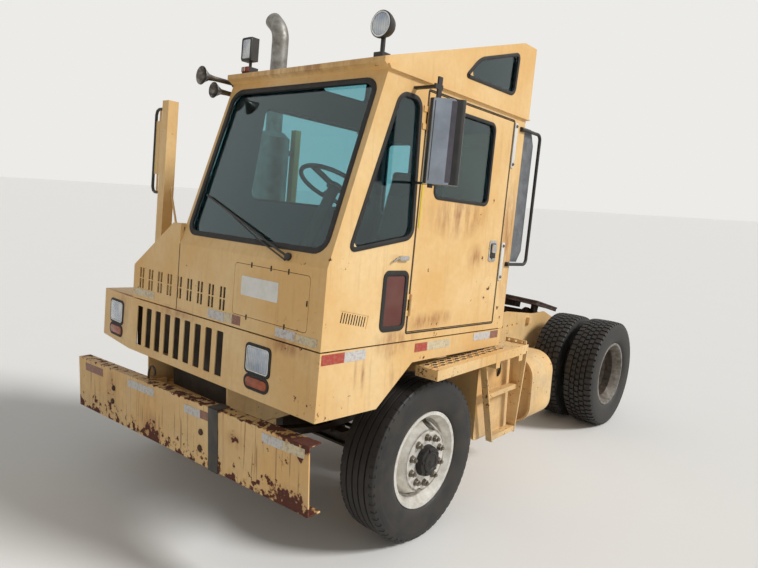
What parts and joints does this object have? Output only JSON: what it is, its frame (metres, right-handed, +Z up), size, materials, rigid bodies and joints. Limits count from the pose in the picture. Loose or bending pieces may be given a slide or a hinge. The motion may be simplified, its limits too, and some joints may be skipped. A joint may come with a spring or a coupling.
{
  "type": "terminal tractor",
  "caption": "Yard tractor with a one-man cab on the left that tilts forward, twin rear wheels and a lifting fifth wheel on a bare rear frame.",
  "frame": {"origin": "on the ground below the middle of the overall box", "axes": "+X forward along the vehicle, +Y to the driver's left, +Z up"},
  "size_m": [4.649, 2.6914, 3.4334],
  "materials": {
    "sheet_paint": "faded sand-yellow enamel, satin",
    "frame_paint": "sand-yellow enamel with dust",
    "silver_paint": "silver wheel paint, satin",
    "grey_wheel": "dull grey, dusty",
    "tyre": "dusty tread rubber",
    "glass": "tinted safety glass",
    "lamp_lens": "moulded lamp with clear and amber lens",
    "black_plastic": "matt black",
    "seat_cover": "worn vinyl",
    "steel_bright": "dull bright metal",
    "steel_dark": "oily dark metal",
    "steel_rust": "rusted bare steel",
    "pipe": "aluminised pipe, weathered",
    "chrome": "polished, slightly dull"
  },
  "bodies": {
    "chassis": {"frame": "frame_paint", "side_plates": "frame_paint", "front_bumper": "sheet_paint", "fascia": "sheet_paint", "left_skirt": "sheet_paint", "right_deck": "sheet_paint", "front_lamps": "lamp_lens", "step_plank": "frame_paint", "step_ladder": "frame_paint", "fuel_tank": "sheet_paint", "hydraulic_tank": "sheet_paint", "engine": "steel_dark", "radiator": "steel_dark", "front_axle": "steel_dark", "leaf_springs": "steel_dark", "rear_axle": "frame_paint", "driveshaft": "steel_dark", "exhaust": "pipe", "exhaust_post": "sheet_paint", "right_mirror": "sheet_paint", "rear_deck": "frame_paint", "tail_lamps": "lamp_lens"},
    "cab": {"cab_floor": "sheet_paint", "cab_left_wall": "sheet_paint", "cab_right_wall": "sheet_paint", "cab_rear_wall": "sheet_paint", "cab_roof": "sheet_paint", "cab_front": "sheet_paint", "hood": "sheet_paint", "access_panel": "sheet_paint", "cab_glass": "glass", "seat": "seat_cover", "dash": "black_plastic", "steering_wheel": "black_plastic", "left_mirror": "steel_bright", "horns": "chrome", "roof_lamps": "steel_bright", "corner_channel": "steel_bright", "grab_rail": "black_plastic"},
    "driver_door": {"door_left": "sheet_paint", "door_glass": "glass"},
    "sliding_door": {"rear_door": "sheet_paint"},
    "left_knuckle": {"knuckle_left": "steel_dark"},
    "right_knuckle": {"knuckle_right": "steel_dark"},
    "tie_bar": {"tie_rod": "steel_dark"},
    "front_left": {"front_left_tyre": "tyre", "front_left_wheel": "silver_paint"},
    "front_right": {"front_right_tyre": "tyre", "front_right_wheel": "silver_paint"},
    "rear_left": {"rear_left_tyres": "tyre", "rear_left_wheels": "grey_wheel"},
    "rear_right": {"rear_right_tyres": "tyre", "rear_right_wheels": "grey_wheel"},
    "lift_boom": {"boom": "steel_rust"},
    "top_plate": {"fifth_wheel": "steel_rust"},
    "barrels": {"lift_barrels": "steel_dark"},
    "rods": {"lift_rods": "chrome"}
  },
  "joints": [
    {"name": "cab_tilt", "type": "hinge", "parent": "chassis", "child": "cab", "pos_m": [2.26784, -0.121, 1.31765], "axis": [0, 1, 0], "range_deg": [0, 45]},
    {"name": "driver_door_hinge", "type": "hinge", "parent": "cab", "child": "driver_door", "pos_m": [1.58541, 1.09, 1.97684], "axis": [-0.0523, 0, 0.9986], "range_deg": [-85, 0]},
    {"name": "rear_door_slide", "type": "slide", "parent": "cab", "child": "sliding_door", "axis": [0, -1, 0], "range_m": [0, 0.6]},
    {"name": "steer_left", "type": "hinge", "parent": "chassis", "child": "left_knuckle", "pos_m": [1.3155, 0.709, 0.5], "axis": [0, 0, 1], "range_deg": [-35, 35]},
    {"name": "steer_right", "type": "hinge", "parent": "chassis", "child": "right_knuckle", "pos_m": [1.3155, -0.951, 0.5], "axis": [0, 0, 1], "range_deg": [-35, 35]},
    {"name": "tie_rod_end", "type": "hinge", "parent": "left_knuckle", "child": "tie_bar", "pos_m": [1.1455, 0.709, 0.446], "axis": [0, 0, 1], "range_deg": [-35, 35]},
    {"name": "front_left_spin", "type": "hinge", "parent": "left_knuckle", "child": "front_left", "pos_m": [1.3155, 0.937, 0.5], "axis": [0, 1, 0], "continuous": true},
    {"name": "front_right_spin", "type": "hinge", "parent": "right_knuckle", "child": "front_right", "pos_m": [1.3155, -1.179, 0.5], "axis": [0, 1, 0], "continuous": true},
    {"name": "rear_left_spin", "type": "hinge", "parent": "chassis", "child": "rear_left", "pos_m": [-1.6305, 0.7685, 0.5], "axis": [0, 1, 0], "continuous": true},
    {"name": "rear_right_spin", "type": "hinge", "parent": "chassis", "child": "rear_right", "pos_m": [-1.6305, -1.0105, 0.5], "axis": [0, 1, 0], "continuous": true},
    {"name": "boom_lift", "type": "hinge", "parent": "chassis", "child": "lift_boom", "pos_m": [-0.3845, -0.121, 0.905], "axis": [0, 1, 0], "range_deg": [0, 20]},
    {"name": "top_plate_pitch", "type": "hinge", "parent": "lift_boom", "child": "top_plate", "pos_m": [-1.6345, -0.121, 0.93], "axis": [0, 1, 0], "range_deg": [0, 15]},
    {"name": "barrel_swing", "type": "hinge", "parent": "chassis", "child": "barrels", "pos_m": [-0.9845, -0.121, 0.43], "axis": [0, 1, 0], "range_deg": [0, 6]},
    {"name": "rod_slide", "type": "slide", "parent": "barrels", "child": "rods", "axis": [-0.1933, 0, 0.9811], "range_m": [0, 0.235]}
  ],
  "couplings": [
    {"joint": "steer_right", "follows": "steer_left", "ratio": 1},
    {"joint": "tie_rod_end", "follows": "steer_left", "ratio": -1},
    {"joint": "barrel_swing", "follows": "boom_lift", "ratio": 0.26529},
    {"joint": "rod_slide", "follows": "boom_lift", "m_per_rad": 0.66853}
  ]
}
